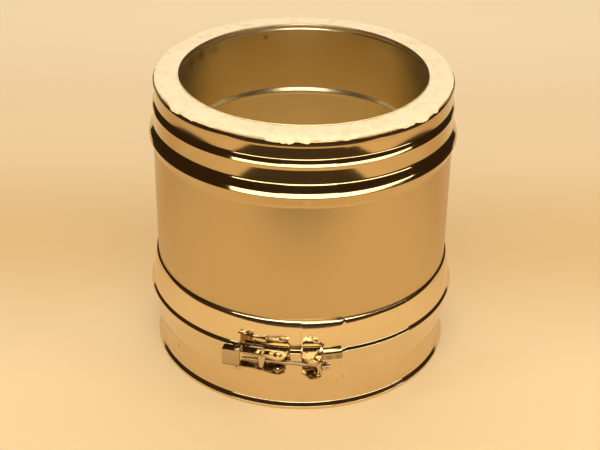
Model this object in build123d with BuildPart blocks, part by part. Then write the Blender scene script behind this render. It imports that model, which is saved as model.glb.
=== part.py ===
from build123d import *
import os
from math import asin, cos, degrees, radians, sin

# Twin-wall insulated chimney section with its locking band, standing upright.
# Millimetres, +Z up. The origin is on the pipe's axis, in the plane of the casing's
# bottom rim. The latch of the band is at the front, on the -Y side. A turn is an
# angle about the axis, from the front towards +X.

# overall sizes
overall_height = 250.0
bore_dia = 200.0
casing_dia = 250.0
sheet = 0.6

# inner liner
socket_depth = 60.0
socket_growth = 1.4
lip_growth = 0.6
lip_height = 4.8
lip_cone = 1.0
shoulder_height = 1.8

# outer casing, from the top down
rim_drop = 3.8
rim_lip = 0.6
rim_lip_height = 4.6
collar_inset = 2.1
collar_height = 11.3
bead_one_rise = 2.2
bead_one_height = 9.4
bead_one_foot = 2.7
flat_band_rise = 1.5
flat_band_height = 12.5
bead_two_rise = 3.7
bead_two_upper = 8.8
bead_two_lower = 9.5
bead_crest_half = 0.8
foot_bead_rise = 2.8
foot_bead_lip = 0.8
foot_bead_mid = 2.9
foot_bead_top = 6.7
seam_width = 1.6
seam_proud = 0.12
seam_end = 3.0

# mineral wool
wool_gap = 0.25
wool_base = 30.0
wool_rim_drop = 0.6
wool_split_turn = 168.0
wool_slack = 2.0

# spacers
spacer_count = 4
spacer_first_turn = 45.0
spacer_sheet = 1.0
spacer_height = 18.0
spacer_lift = 1.0
spacer_foot_arc = 6.0
spacer_notch_gap = 1.007
weld_gap = 0.1

# locking band
band_mid_height = 59.0
band_half_height = 28.6
band_lip_height = 5.5
band_crest_half = 9.9
band_crest_flat = 1.0
band_sheet = 1.0
band_seat_gap = 0.3
band_lip_rise = 1.1
band_flank_rise = 1.8
band_crest_rise = 3.1
band_edge_turn = 0.35
band_joggle_turn = 17.0
band_joggle_arc = 1.0
band_tongue_turn = 14.0
band_layer_gap = 0.1

# latch: lever and base
lever_tilt = 13.3
pivot_x = -17.5
pivot_out = 10.3
cheek_sheet = 1.2
cheek_outer_half = 7.6
cheek_gap = 0.2
cheek_end_round = 7.0
cheek_corner = 1.2
cheek_waist = 20.0
cheek_depth_in = 4.4
cheek_depth_out = 3.5
lever_length = 45.5
thumb_length = 14.5
ear_sheet = 1.5
ear_round = 5.0
ear_root_left = 29.0
ear_root_right = 7.0
ear_root_depth = 1.0
base_turn_left = 20.5
base_turn_right = 3.2
strip_sheet = 1.2

# latch: rivets, trunnion, rod, cross bar, screw and nuts
rivet_radius = 2.0
rivet_head_radius = 3.6
rivet_tail_radius = 3.2
rivet_head_height = 1.0
run_clearance = 0.06
press_clearance = 0.02
head_seat = 0.1
trunnion_arm = 13.0
trunnion_radius = 3.6
trunnion_proud = 0.4
over_centre = 1.2
bolt_radius = 2.0
bolt_chamfer = 0.4
bolt_reach = 46.0
tail_gap = 1.7
bolt_tip = 6.2
bar_radius = 3.2
bar_proud = 0.2
pocket_clearance = 0.4
nut_flat = 7.0
nut_height = 3.2
screw_arm = 33.2
screw_head_radius = 3.6
screw_head_height = 2.2
screw_head_chamfer = 0.5
screw_tip = 1.2
hex_socket = 2.5
hex_depth = 1.3

# latch: catch with its two hook plates
catch_turn_start = 0.55
catch_turn_end = 15.2
catch_narrow_turn = 8.2
catch_narrow_half = 5.2
catch_overlap_arc = 0.5
hook_left = 2.0
hook_foot_right = 1.6
hook_heel = 0.7
hook_nose_left = 7.8
hook_nose_out = 9.3
hook_brow_left = 1.2
hook_brow_drop = 1.0
hook_lip = 2.2
hook_throat = 3.0
hook_corner = 1.0
spot_turns = (10.2, 13.6)
spot_below_mid = 2.2
spot_radius = 2.4
spot_width = 0.7
spot_depth = 0.25

# sizes that follow from the ones above
bore_r = bore_dia / 2
body_r = casing_dia / 2
casing_in_r = body_r - sheet
socket_r = bore_r + socket_growth
lip_r = socket_r + lip_growth
lip_base_z = overall_height - lip_height
rim_z = overall_height - rim_drop
rim_lip_z = rim_z - rim_lip_height
shoulder_z = overall_height - socket_depth
shoulder_base_z = shoulder_z - shoulder_height
collar_r = body_r - collar_inset
flat_r = collar_r + flat_band_rise
bead_one_r = collar_r + bead_one_rise
bead_two_r = body_r + bead_two_rise
foot_bead_r = body_r + foot_bead_rise
collar_base_z = rim_z - collar_height
bead_one_z = collar_base_z - bead_one_height
flat_top_z = bead_one_z - bead_one_foot
flat_base_z = flat_top_z - flat_band_height
bead_two_z = flat_base_z - bead_two_upper
body_top_z = bead_two_z - bead_two_lower
band_low_z = band_mid_height - band_half_height
band_high_z = band_mid_height + band_half_height
band_out_r = body_r + band_seat_gap + band_sheet
band_flank_r = band_out_r + band_lip_rise
band_shoulder_r = band_flank_r + band_flank_rise
band_slope = band_crest_rise / band_crest_half
band_crest_r = band_shoulder_r + band_crest_rise - band_crest_flat * band_slope
layer_step = band_sheet + band_layer_gap
cheek_inner_half = cheek_outer_half - cheek_sheet
bar_half = cheek_outer_half + bar_proud
pivot_y = -(band_shoulder_r + band_crest_rise + pivot_out)
ear_outer_half = cheek_inner_half - cheek_gap
ear_inner_half = ear_outer_half - ear_sheet
tilt = radians(lever_tilt)
bolt_angle = radians(lever_tilt) - asin(over_centre / trunnion_arm)
bolt_dx = cos(bolt_angle)
bolt_dy = -sin(bolt_angle)
pin_x = pivot_x - trunnion_arm * cos(tilt)
pin_y = pivot_y + trunnion_arm * sin(tilt)
bar_x = pin_x + bolt_reach * bolt_dx
bar_y = pin_y + bolt_reach * bolt_dy
screw_x = pivot_x - screw_arm * cos(tilt)
screw_y = pivot_y + screw_arm * sin(tilt)
bolt_tail = screw_arm - trunnion_arm - rivet_radius - tail_gap


def turned_plane(turn):
    """Upright plane through the pipe's axis, turned from the front towards +X."""
    way = radians(turn - 90)
    return Plane(origin=(0, 0, 0), x_dir=(cos(way), sin(way), 0), z_dir=(sin(way), -cos(way), 0))


def crest_points(offset, half):
    """Four points over the band's crest, moved outwards and cut at a half height."""
    edge_r = band_crest_r + offset - (half - band_crest_flat) * band_slope
    return [
        (edge_r, band_mid_height - half),
        (band_crest_r + offset, band_mid_height - band_crest_flat),
        (band_crest_r + offset, band_mid_height + band_crest_flat),
        (edge_r, band_mid_height + half),
    ]


def band_points(offset):
    """Eight points of the band's outer face, moved outwards."""
    return [
        (band_out_r + offset, band_low_z),
        (band_flank_r + offset, band_low_z + band_lip_height),
        *crest_points(offset, band_crest_half),
        (band_flank_r + offset, band_high_z - band_lip_height),
        (band_out_r + offset, band_high_z),
    ]


# the inner liner: plain tube below, shoulder and widened socket above
liner_points = [
    (bore_r, 0),
    (bore_r, shoulder_base_z),
    (socket_r, shoulder_z),
    (socket_r, lip_base_z),
    (lip_r, lip_base_z + lip_cone),
    (lip_r, overall_height),
]
with BuildPart() as inner_liner:
    with BuildSketch(Plane.XZ) as liner_section:
        with BuildLine():
            inside = Polyline(*liner_points)
            outside = Polyline(*[(r + sheet, z) for r, z in liner_points])
            Line(inside @ 0, outside @ 0)
            Line(inside @ 1, outside @ 1)
        make_face()
    revolve(axis=Axis.Z)
    # the tube's lengthwise weld, at the back on the outside
    liner_seam_low = wool_base + seam_end
    with BuildSketch(Plane.XY.offset(liner_seam_low)) as liner_seam:
        with Locations((0, bore_r + sheet)):
            Rectangle(seam_width, 2 * seam_proud)
    extrude(amount=shoulder_base_z - seam_end - liner_seam_low)
inner_liner.part.label = "inner_liner"

# the outer casing: foot bead, body, two beads with a flat band between, collar, rim lip
casing_points = [
    (foot_bead_r - foot_bead_lip, 0),
    (foot_bead_r, foot_bead_mid),
    (body_r, foot_bead_top),
    (body_r, body_top_z),
    (bead_two_r, bead_two_z - bead_crest_half),
    (bead_two_r, bead_two_z + bead_crest_half),
    (flat_r, flat_base_z),
    (flat_r, flat_top_z),
    (bead_one_r, bead_one_z),
    (collar_r, collar_base_z),
    (collar_r, rim_lip_z - lip_cone),
    (collar_r + rim_lip, rim_lip_z),
    (collar_r + rim_lip, rim_z),
]
with BuildPart() as outer_casing:
    with BuildSketch(Plane.XZ) as casing_section:
        with BuildLine():
            skin = Polyline(*casing_points)
            back = Polyline(*[(r - sheet, z) for r, z in casing_points])
            Line(skin @ 0, back @ 0)
            Line(skin @ 1, back @ 1)
        make_face()
    revolve(axis=Axis.Z)
    # the tube's lengthwise weld, at the back
    casing_seam_low = foot_bead_top + seam_end
    with BuildSketch(Plane.XY.offset(casing_seam_low)) as casing_seam:
        with Locations((0, body_r)):
            Rectangle(seam_width, 2 * seam_proud)
    extrude(amount=body_top_z - seam_end - casing_seam_low)
outer_casing.part.label = "outer_casing"

# the mineral wool: two half shells that follow both tubes
spacer_in_r = bore_r + sheet + weld_gap
spacer_out_r = casing_in_r - weld_gap
spacer_notch = 2 * (spacer_out_r * sin(radians(spacer_foot_arc)) + spacer_notch_gap)
wool_top = overall_height - wool_rim_drop
low_in_r = bore_r + sheet + wool_gap
high_in_r = lip_r + sheet + wool_gap
body_wool_r = casing_in_r - wool_gap
flat_wool_r = flat_r - sheet - wool_gap
collar_wool_r = collar_r - sheet - wool_gap
wool_points = [
    (low_in_r, wool_base),
    (body_wool_r, wool_base),
    (body_wool_r, body_top_z),
    (flat_wool_r, flat_base_z - wool_slack),
    (flat_wool_r, flat_top_z),
    (collar_wool_r, collar_base_z - wool_slack),
    (collar_wool_r, wool_top),
    (high_in_r, wool_top),
    (high_in_r, shoulder_z - lip_cone),
    (low_in_r, shoulder_base_z - wool_slack),
]
split_gap_turn = degrees(wool_gap / bore_r)
wool_halves = []
for wool_name, start_turn in (
    ("insulation_left", wool_split_turn + 90),
    ("insulation_right", wool_split_turn - 90),
):
    with BuildPart() as wool_half:
        with BuildSketch(turned_plane(start_turn)) as wool_section:
            with BuildLine():
                Polyline(*wool_points, close=True)
            make_face()
        revolve(axis=Axis.Z, revolution_arc=180 - split_gap_turn)
        with BuildSketch(Plane.XY.offset(wool_base)) as wool_notches:
            with PolarLocations(bore_r, spacer_count, start_angle=spacer_first_turn):
                Rectangle(casing_dia - bore_dia, spacer_notch)
        extrude(amount=spacer_height + 2 * spacer_lift, mode=Mode.SUBTRACT)
    wool_half.part.label = wool_name
    wool_halves.append(wool_half)

# sheet clips between liner and casing, in notches at the foot of the wool
spacer_half_arc = spacer_foot_arc / 2
spacers = []
for number in range(spacer_count):
    way = spacer_first_turn + number * 360 / spacer_count
    with BuildPart() as spacer:
        with BuildSketch(Plane.XY.offset(wool_base + spacer_lift)) as spacer_plan:
            with BuildSketch(mode=Mode.PRIVATE) as foot_in:
                Circle(spacer_in_r + spacer_sheet)
                Circle(spacer_in_r, mode=Mode.SUBTRACT)
                with Locations(Location((0, 0), way + spacer_half_arc)):
                    Rectangle(
                        casing_dia,
                        2 * spacer_in_r * sin(radians(spacer_half_arc)),
                        align=(Align.MIN, Align.CENTER),
                        mode=Mode.INTERSECT,
                    )
            with BuildSketch(mode=Mode.PRIVATE) as foot_out:
                Circle(spacer_out_r)
                Circle(spacer_out_r - spacer_sheet, mode=Mode.SUBTRACT)
                with Locations(Location((0, 0), way - spacer_half_arc)):
                    Rectangle(
                        casing_dia,
                        2 * spacer_out_r * sin(radians(spacer_half_arc)),
                        align=(Align.MIN, Align.CENTER),
                        mode=Mode.INTERSECT,
                    )
            add(foot_in.sketch)
            add(foot_out.sketch)
            with Locations(Location((0, 0), way)):
                with Locations((spacer_in_r + spacer_sheet / 2, 0)):
                    Rectangle(
                        spacer_out_r - spacer_in_r - spacer_sheet,
                        spacer_sheet,
                        align=(Align.MIN, Align.CENTER),
                    )
        extrude(amount=spacer_height)
    spacer.part.label = f"spacer_{number + 1}"
    spacers.append(spacer)

# the locking band: one strip, its right end lapped over its left end at the front
with BuildPart() as locking_band:
    with BuildSketch(turned_plane(band_joggle_turn)) as strip_section:
        with BuildLine():
            outer = Polyline(*band_points(0))
            inner = Polyline(*band_points(-band_sheet))
            Line(outer @ 0, inner @ 0)
            Line(outer @ 1, inner @ 1)
        make_face()
    revolve(axis=Axis.Z, revolution_arc=360 - band_joggle_turn + band_tongue_turn)
    with BuildSketch(turned_plane(band_edge_turn)) as lap_section:
        with BuildLine():
            lap_out = Polyline(*band_points(layer_step))
            lap_in = Polyline(*band_points(band_layer_gap))
            Line(lap_out @ 0, lap_in @ 0)
            Line(lap_out @ 1, lap_in @ 1)
        make_face()
    revolve(axis=Axis.Z, revolution_arc=band_joggle_turn - band_edge_turn)
    with BuildSketch(turned_plane(band_joggle_turn - band_joggle_arc / 2)) as joggle_section:
        with BuildLine():
            step_out = Polyline(*band_points(layer_step))
            step_in = Polyline(*band_points(-band_sheet))
            Line(step_out @ 0, step_in @ 0)
            Line(step_out @ 1, step_in @ 1)
        make_face()
    revolve(axis=Axis.Z, revolution_arc=band_joggle_arc)
locking_band.part.label = "locking_band"

# the latch base: a strip bent over the crest, with two ears for the lever
ear_root_r = band_crest_r - (ear_outer_half - band_crest_flat) * band_slope + ear_root_depth
with BuildPart() as latch_base:
    with BuildSketch(turned_plane(-base_turn_left)) as base_section:
        with BuildLine():
            top_line = Polyline(*crest_points(weld_gap + strip_sheet, ear_outer_half))
            foot_line = Polyline(*crest_points(weld_gap, ear_outer_half))
            Line(top_line @ 0, foot_line @ 0)
            Line(top_line @ 1, foot_line @ 1)
        make_face()
    revolve(axis=Axis.Z, revolution_arc=base_turn_left - base_turn_right)
    for level in (band_mid_height + ear_inner_half, band_mid_height - ear_outer_half):
        with BuildSketch(Plane.XY.offset(level)) as ear_plan:
            with BuildLine():
                Polyline(
                    (-ear_root_left, -ear_root_r + strip_sheet * 3),
                    (-ear_root_left, -ear_root_r),
                    (pivot_x - ear_round, pivot_y),
                    (pivot_x + ear_round, pivot_y),
                    (-ear_root_right, -ear_root_r),
                    (-ear_root_right, -ear_root_r + strip_sheet * 3),
                    close=True,
                )
            make_face()
            with Locations((pivot_x, pivot_y)):
                Circle(ear_round)
            Circle(ear_root_r, mode=Mode.SUBTRACT)
            with Locations((pivot_x, pivot_y)):
                Circle(rivet_radius + press_clearance, mode=Mode.SUBTRACT)
        extrude(amount=ear_sheet)
latch_base.part.label = "latch_base"

# the lever: two cheeks joined by a thumb plate; local x runs towards the thumb end
lever_plane = Plane(
    origin=(pivot_x, pivot_y, 0),
    x_dir=(-cos(tilt), sin(tilt), 0),
    z_dir=(0, 0, 1),
)
with BuildPart() as latch_lever:
    for level in (band_mid_height + cheek_inner_half, band_mid_height - cheek_outer_half):
        with BuildSketch(lever_plane.offset(level)) as cheek_plan:
            with BuildLine():
                Polyline(
                    (0, -cheek_end_round),
                    (cheek_waist, -cheek_depth_in),
                    (lever_length - cheek_corner, -cheek_depth_in + cheek_corner),
                    (lever_length, -cheek_depth_in + 2 * cheek_corner),
                    (lever_length, cheek_depth_out),
                    (cheek_waist, cheek_depth_out),
                    (0, cheek_end_round),
                    close=True,
                )
            make_face()
            Circle(cheek_end_round)
            Circle(rivet_radius + run_clearance, mode=Mode.SUBTRACT)
            with Locations((trunnion_arm, 0)):
                Circle(rivet_radius + run_clearance, mode=Mode.SUBTRACT)
            with Locations((screw_arm, 0)):
                Circle(rivet_radius + press_clearance, mode=Mode.SUBTRACT)
        extrude(amount=cheek_sheet)
    with BuildSketch(lever_plane.offset(band_mid_height - cheek_outer_half)) as thumb_plan:
        with Locations((lever_length, cheek_depth_out)):
            Rectangle(thumb_length, cheek_sheet, align=(Align.MAX, Align.MAX))
    extrude(amount=2 * cheek_outer_half)
latch_lever.part.label = "latch_lever"

# the lever's two short rivets, one in each ear
rivets = []
for rivet_name, side in (("lever_rivet_upper", 1), ("lever_rivet_lower", -1)):
    shank_start = ear_inner_half - head_seat
    shank_end = cheek_outer_half + head_seat
    shank_mid = band_mid_height + side * (shank_start + shank_end) / 2
    head_mid = band_mid_height + side * (shank_end + rivet_head_height / 2)
    tail_mid = band_mid_height + side * (shank_start - rivet_head_height / 2)
    with BuildPart() as rivet:
        with Locations((pivot_x, pivot_y, shank_mid)):
            Cylinder(rivet_radius, shank_end - shank_start)
        with Locations((pivot_x, pivot_y, head_mid)):
            Cylinder(rivet_head_radius, rivet_head_height)
        with Locations((pivot_x, pivot_y, tail_mid)):
            Cylinder(rivet_tail_radius, rivet_head_height)
    rivet.part.label = rivet_name
    rivets.append(rivet)

# the trunnion: a barrel with two end pins in the lever's cheeks, bored for the rod
bolt_plane = Plane(origin=(pin_x, pin_y, band_mid_height), z_dir=(bolt_dx, bolt_dy, 0))
barrel_half = cheek_inner_half - cheek_gap
with BuildPart() as trunnion:
    with Locations((pin_x, pin_y, band_mid_height)):
        Cylinder(trunnion_radius, 2 * barrel_half)
        Cylinder(rivet_radius, 2 * (cheek_outer_half + trunnion_proud))
    with BuildSketch(bolt_plane) as trunnion_hole:
        Circle(bolt_radius + press_clearance)
    extrude(amount=2 * trunnion_radius, both=True, mode=Mode.SUBTRACT)
trunnion.part.label = "trunnion"

# the rod, from its free end inside the lever to its tip beyond the nut
with BuildPart() as draw_bolt:
    with BuildSketch(bolt_plane.offset(-bolt_tail)) as rod_circle:
        Circle(bolt_radius)
    extrude(amount=bolt_tail + bolt_reach + bar_radius + bolt_tip)
    chamfer(draw_bolt.edges().filter_by(GeomType.CIRCLE), bolt_chamfer)
draw_bolt.part.label = "draw_bolt"

# the cross bar that sits in the hooks of the catch
bar_plane = bolt_plane.offset(bolt_reach)
with BuildPart() as cross_bar:
    with Locations((bar_x, bar_y, band_mid_height)):
        Cylinder(bar_radius, 2 * bar_half)
    with BuildSketch(bar_plane) as bar_hole:
        Circle(bolt_radius + press_clearance)
    extrude(amount=2 * bar_radius, both=True, mode=Mode.SUBTRACT)
cross_bar.part.label = "cross_bar"

# the nut that sets the pull
with BuildPart() as adjusting_nut:
    with BuildSketch(bar_plane.offset(bar_radius + head_seat)) as nut_plan:
        RegularPolygon(nut_flat / 2, 6, major_radius=False)
        Circle(bolt_radius + press_clearance, mode=Mode.SUBTRACT)
    extrude(amount=nut_height)
adjusting_nut.part.label = "adjusting_nut"

# the cross screw near the thumb end, with its nut below
screw_top = band_mid_height + cheek_outer_half + head_seat
screw_low = band_mid_height - cheek_outer_half - head_seat
with BuildPart() as lever_screw:
    with BuildSketch(Plane.XY.offset(screw_low - nut_height - screw_tip)) as screw_shank:
        with Locations((screw_x, screw_y)):
            Circle(rivet_radius)
    extrude(amount=screw_top - screw_low + nut_height + screw_tip)
    with BuildSketch(Plane.XY.offset(screw_top)) as screw_head:
        with Locations((screw_x, screw_y)):
            Circle(screw_head_radius)
    extrude(amount=screw_head_height)
    head_edge = lever_screw.edges().filter_by(GeomType.CIRCLE).sort_by(Axis.Z)[-1]
    chamfer(head_edge, screw_head_chamfer)
    with BuildSketch(Plane.XY.offset(screw_top + screw_head_height - hex_depth)) as screw_key:
        with Locations((screw_x, screw_y)):
            RegularPolygon(hex_socket / 2, 6, major_radius=False)
    extrude(amount=hex_depth, mode=Mode.SUBTRACT)
lever_screw.part.label = "lever_screw"

with BuildPart() as lever_nut:
    with BuildSketch(Plane.XY.offset(screw_low - nut_height)) as lever_nut_plan:
        with Locations((screw_x, screw_y)):
            RegularPolygon(nut_flat / 2, 6, major_radius=False)
            Circle(rivet_radius + press_clearance, mode=Mode.SUBTRACT)
    extrude(amount=nut_height)
lever_nut.part.label = "lever_nut"

# the catch: a strip on the lapped end with two hook plates, open away from the lever
catch_offset = layer_step + weld_gap
hook_root_r = band_crest_r - (cheek_outer_half - band_crest_flat) * band_slope
hook_root_r = hook_root_r + catch_offset + ear_root_depth
pocket_r = bar_radius + pocket_clearance
pocket_edge_y = bar_y - pocket_r
with BuildPart() as catch_hook:
    with BuildSketch(turned_plane(catch_turn_start)) as catch_section:
        with BuildLine():
            catch_top = Polyline(*crest_points(catch_offset + strip_sheet, cheek_outer_half))
            catch_foot = Polyline(*crest_points(catch_offset, cheek_outer_half))
            Line(catch_top @ 0, catch_foot @ 0)
            Line(catch_top @ 1, catch_foot @ 1)
        make_face()
    revolve(axis=Axis.Z, revolution_arc=catch_narrow_turn - catch_turn_start)
    tab_start = catch_narrow_turn - catch_overlap_arc
    with BuildSketch(turned_plane(tab_start)) as tab_section:
        with BuildLine():
            tab_top = Polyline(*crest_points(catch_offset + strip_sheet, catch_narrow_half))
            tab_foot = Polyline(*crest_points(catch_offset, catch_narrow_half))
            Line(tab_top @ 0, tab_foot @ 0)
            Line(tab_top @ 1, tab_foot @ 1)
        make_face()
    revolve(axis=Axis.Z, revolution_arc=catch_turn_end - tab_start)
    for level in (band_mid_height + cheek_inner_half, band_mid_height - cheek_outer_half):
        with BuildSketch(Plane.XY.offset(level)) as hook_plan:
            with BuildLine():
                Polyline(
                    (hook_left, -hook_root_r + hook_throat),
                    (hook_left, bar_y - hook_heel),
                    (bar_x - hook_nose_left, bar_y - hook_nose_out),
                    (bar_x - hook_brow_left, bar_y - hook_nose_out + hook_brow_drop),
                    (bar_x + hook_lip, pocket_edge_y - hook_lip),
                    (bar_x + hook_lip, pocket_edge_y),
                    (bar_x, pocket_edge_y),
                    (bar_x - pocket_r, bar_y),
                    (bar_x - pocket_r + pocket_clearance, bar_y + hook_throat),
                    (bar_x, -hook_root_r - hook_heel),
                    (bar_x + hook_foot_right, -hook_root_r + hook_throat),
                    close=True,
                )
            make_face()
            nose_corners = hook_plan.vertices().sort_by(Axis.Y)[:2]
            fillet(nose_corners, hook_corner)
            with Locations((bar_x, bar_y)):
                Circle(pocket_r, mode=Mode.SUBTRACT)
            Circle(hook_root_r, mode=Mode.SUBTRACT)
        extrude(amount=cheek_sheet)
    # spot-weld marks pressed into the tab
    spot_drop = (spot_below_mid - band_crest_flat) * band_slope
    spot_r = band_crest_r + catch_offset + strip_sheet - spot_drop
    for turn in spot_turns:
        spot_way = radians(turn - 90)
        spot_plane = Plane(
            origin=(spot_r * cos(spot_way), spot_r * sin(spot_way), band_mid_height - spot_below_mid),
            z_dir=(cos(spot_way), sin(spot_way), band_slope),
        )
        with BuildSketch(spot_plane.offset(-spot_depth)) as spot_mark:
            Circle(spot_radius)
            Circle(spot_radius - spot_width, mode=Mode.SUBTRACT)
        extrude(amount=2 * spot_radius, mode=Mode.SUBTRACT)
catch_hook.part.label = "catch_hook"

os.makedirs("parts", exist_ok=True)
pieces = [
    inner_liner,
    outer_casing,
    *wool_halves,
    *spacers,
    locking_band,
    latch_base,
    latch_lever,
    *rivets,
    trunnion,
    draw_bolt,
    cross_bar,
    adjusting_nut,
    lever_screw,
    lever_nut,
    catch_hook,
]
for piece in pieces:
    export_step(piece.part, f"parts/{piece.part.label}.step")
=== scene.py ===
"""Visual model of a twin-wall chimney pipe with its locking band, built round the CAD frame."""

import logging
import math
from dataclasses import dataclass
from enum import Enum
from typing import Sequence

import bpy
import numpy as np
from mathutils import Matrix, Vector, noise


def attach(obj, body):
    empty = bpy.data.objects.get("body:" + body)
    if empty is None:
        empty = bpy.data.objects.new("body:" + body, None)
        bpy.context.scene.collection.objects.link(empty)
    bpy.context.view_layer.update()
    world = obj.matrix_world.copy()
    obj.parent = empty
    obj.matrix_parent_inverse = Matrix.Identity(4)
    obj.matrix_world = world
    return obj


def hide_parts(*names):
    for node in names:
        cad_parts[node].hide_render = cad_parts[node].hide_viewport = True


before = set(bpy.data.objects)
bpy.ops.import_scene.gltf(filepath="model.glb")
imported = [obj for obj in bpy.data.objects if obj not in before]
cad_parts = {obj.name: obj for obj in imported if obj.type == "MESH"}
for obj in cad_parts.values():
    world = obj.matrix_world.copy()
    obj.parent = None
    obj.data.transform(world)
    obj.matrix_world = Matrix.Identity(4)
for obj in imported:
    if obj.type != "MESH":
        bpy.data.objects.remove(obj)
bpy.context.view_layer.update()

MM = 0.001
Point = tuple[float, float]
Place = tuple[float, float, float]
Colour = tuple[float, float, float]
Thing = bpy.types.Object
Material = bpy.types.Material
Node = bpy.types.Node
NodeTree = bpy.types.NodeTree
log = logging.getLogger("chimney_pipe")


class Brush(Enum):
    """Which way the fine lines of a rolled or ground sheet run."""

    AROUND = "around the pipe"
    LEVEL = "along X"
    NONE = "no lines"


# finishes


class Nodes:
    """A small helper that adds and links shader nodes in one tree."""

    def __init__(self, tree: NodeTree) -> None:
        """Empties the node tree of a material or of the world, to start afresh."""
        self.tree = tree
        self.tree.nodes.clear()

    def add(self, kind: str, **values: object) -> Node:
        """Adds one node.

        Args:
            kind: the node's type name.
            values: properties of the node, or of its input sockets by name.

        Returns:
            The new node.
        """
        node = self.tree.nodes.new(kind)
        for key, value in values.items():
            if hasattr(node, key):
                setattr(node, key, value)
            else:
                node.inputs[key.replace("_", " ").title()].default_value = value
        return node

    def link(self, a: Node, out: str | int, b: Node, into: str | int) -> None:
        """Joins one node's output to another one's input, each by its name or number."""
        self.tree.links.new(a.outputs[out], b.inputs[into])

    def object_position(self) -> Node:
        """Adds the texture coordinate node that every pattern starts from."""
        return self.add("ShaderNodeTexCoord")

    def parts(self) -> Node:
        """Adds the object's coordinates as three numbers.

        Returns:
            The node that gives X, Y and Z.
        """
        apart = self.add("ShaderNodeSeparateXYZ")
        self.link(self.object_position(), "Object", apart, "Vector")
        return apart

    def looked_at(self) -> Node:
        """Adds a value of 1 for rays from the camera, from metal or through glass, and 0 for others.

        Returns:
            The node whose value it is.
        """
        path = self.add("ShaderNodeLightPath")
        seen = self.math("MAXIMUM", (path, "Is Camera Ray"), (path, "Is Glossy Ray"))
        return self.math("MAXIMUM", (seen, "Value"), (path, "Is Transmission Ray"))

    def noise(self, **values: float) -> Node:
        """Adds a noise texture on the object's own coordinates.

        Args:
            values: its input sockets by name.

        Returns:
            The texture node.
        """
        texture = self.add("ShaderNodeTexNoise", **values)
        self.link(self.object_position(), "Object", texture, "Vector")
        return texture

    def bump(self, source: tuple, height: float, strength: float) -> Node:
        """Adds a bump of a height in metres, driven by a (node, output) pair.

        Args:
            source: the pair.
            height: of the bump.
            strength: its share, up to 1.

        Returns:
            The bump node.
        """
        node = self.add("ShaderNodeBump", Distance=height, Strength=strength)
        self.link(*source, node, "Height")
        return node

    def math(self, operation: str, a: object, b: object = None) -> Node:
        """Adds a Math node.

        Args:
            operation: the operation's name.
            a: a number, or a (node, output) pair.
            b: the same for the second input, or None.

        Returns:
            The new node.
        """
        node = self.add("ShaderNodeMath", operation=operation)
        for number, value in enumerate((a, b)):
            if isinstance(value, tuple):
                self.link(value[0], value[1], node, number)
            elif value is not None:
                node.inputs[number].default_value = value
        return node

    def ramp(self, source: tuple, stops: Sequence[tuple[float, float]]) -> Node:
        """Adds a grey colour ramp.

        Args:
            source: the (node, output) pair that drives it.
            stops: (position, grey value) pairs, in rising order.

        Returns:
            The new node.
        """
        node = self.add("ShaderNodeValToRGB")
        marks = node.color_ramp.elements
        while len(marks) < len(stops):
            marks.new(0.5)
        for mark, (place, grey) in zip(marks, stops):
            mark.position = place
            mark.color = (grey, grey, grey, 1)
        self.link(source[0], source[1], node, "Fac")
        return node

    def blend(self, factor: tuple, low: object, high: object) -> Node:
        """Adds a colour mix.

        Args:
            factor: the (node, output) pair that drives it.
            low: a colour, or a (node, output) pair, shown at factor 0.
            high: the same for factor 1.

        Returns:
            The new node, whose colour output is "Result" number 2.
        """
        node = self.add("ShaderNodeMix", data_type="RGBA")
        self.link(factor[0], factor[1], node, 0)
        for socket, value in ((6, low), (7, high)):
            if isinstance(value[0], Node):
                self.link(value[0], value[1], node, socket)
            else:
                node.inputs[socket].default_value = (*value, 1)
        return node


class MaterialNodes(Nodes):
    """The nodes of one new material, with a shader on its surface."""

    def __init__(self, name: str) -> None:
        """Makes the material and its first two nodes.

        Args:
            name: the material's name.
        """
        self.material = bpy.data.materials.new(name)
        self.material.use_nodes = True
        super().__init__(self.material.node_tree)
        self.output = self.add("ShaderNodeOutputMaterial")
        self.shader = self.add("ShaderNodeBsdfPrincipled")
        self.link(self.shader, "BSDF", self.output, "Surface")

    def matt(self, roughness: float = 1.0, gloss: float = 0.0) -> None:
        """Sets the shader's roughness and how far it mirrors."""
        self.shader.inputs["Roughness"].default_value = roughness
        self.shader.inputs["Specular IOR Level"].default_value = gloss


@dataclass(frozen=True)
class Spot:
    """A stain, a tint or a spot of painted shade round one place of a surface, in metres, torn at its
    edge by noise.
    """

    place: Place
    reach: float
    colour: Colour
    strength: float


# sizes of the steel's patterns and bumps
CLOUD_SCALE = 22.0
DULL_SHARE = 0.35
LINES_AROUND = 3.0
LINES_ACROSS = 2600.0
LINES_LEVEL = 60.0
GRAIN = 900.0
LINE_HEIGHT = 0.05 * MM
RIPPLE_SCALE = 9.0
RIPPLE_HEIGHT = 2.0 * MM
STAIN_NOISE = 0.9
STAIN_TEAR = 1.1
STAIN_SPREAD = 1.6
FIBRE_HEIGHT = 0.6 * MM


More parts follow.
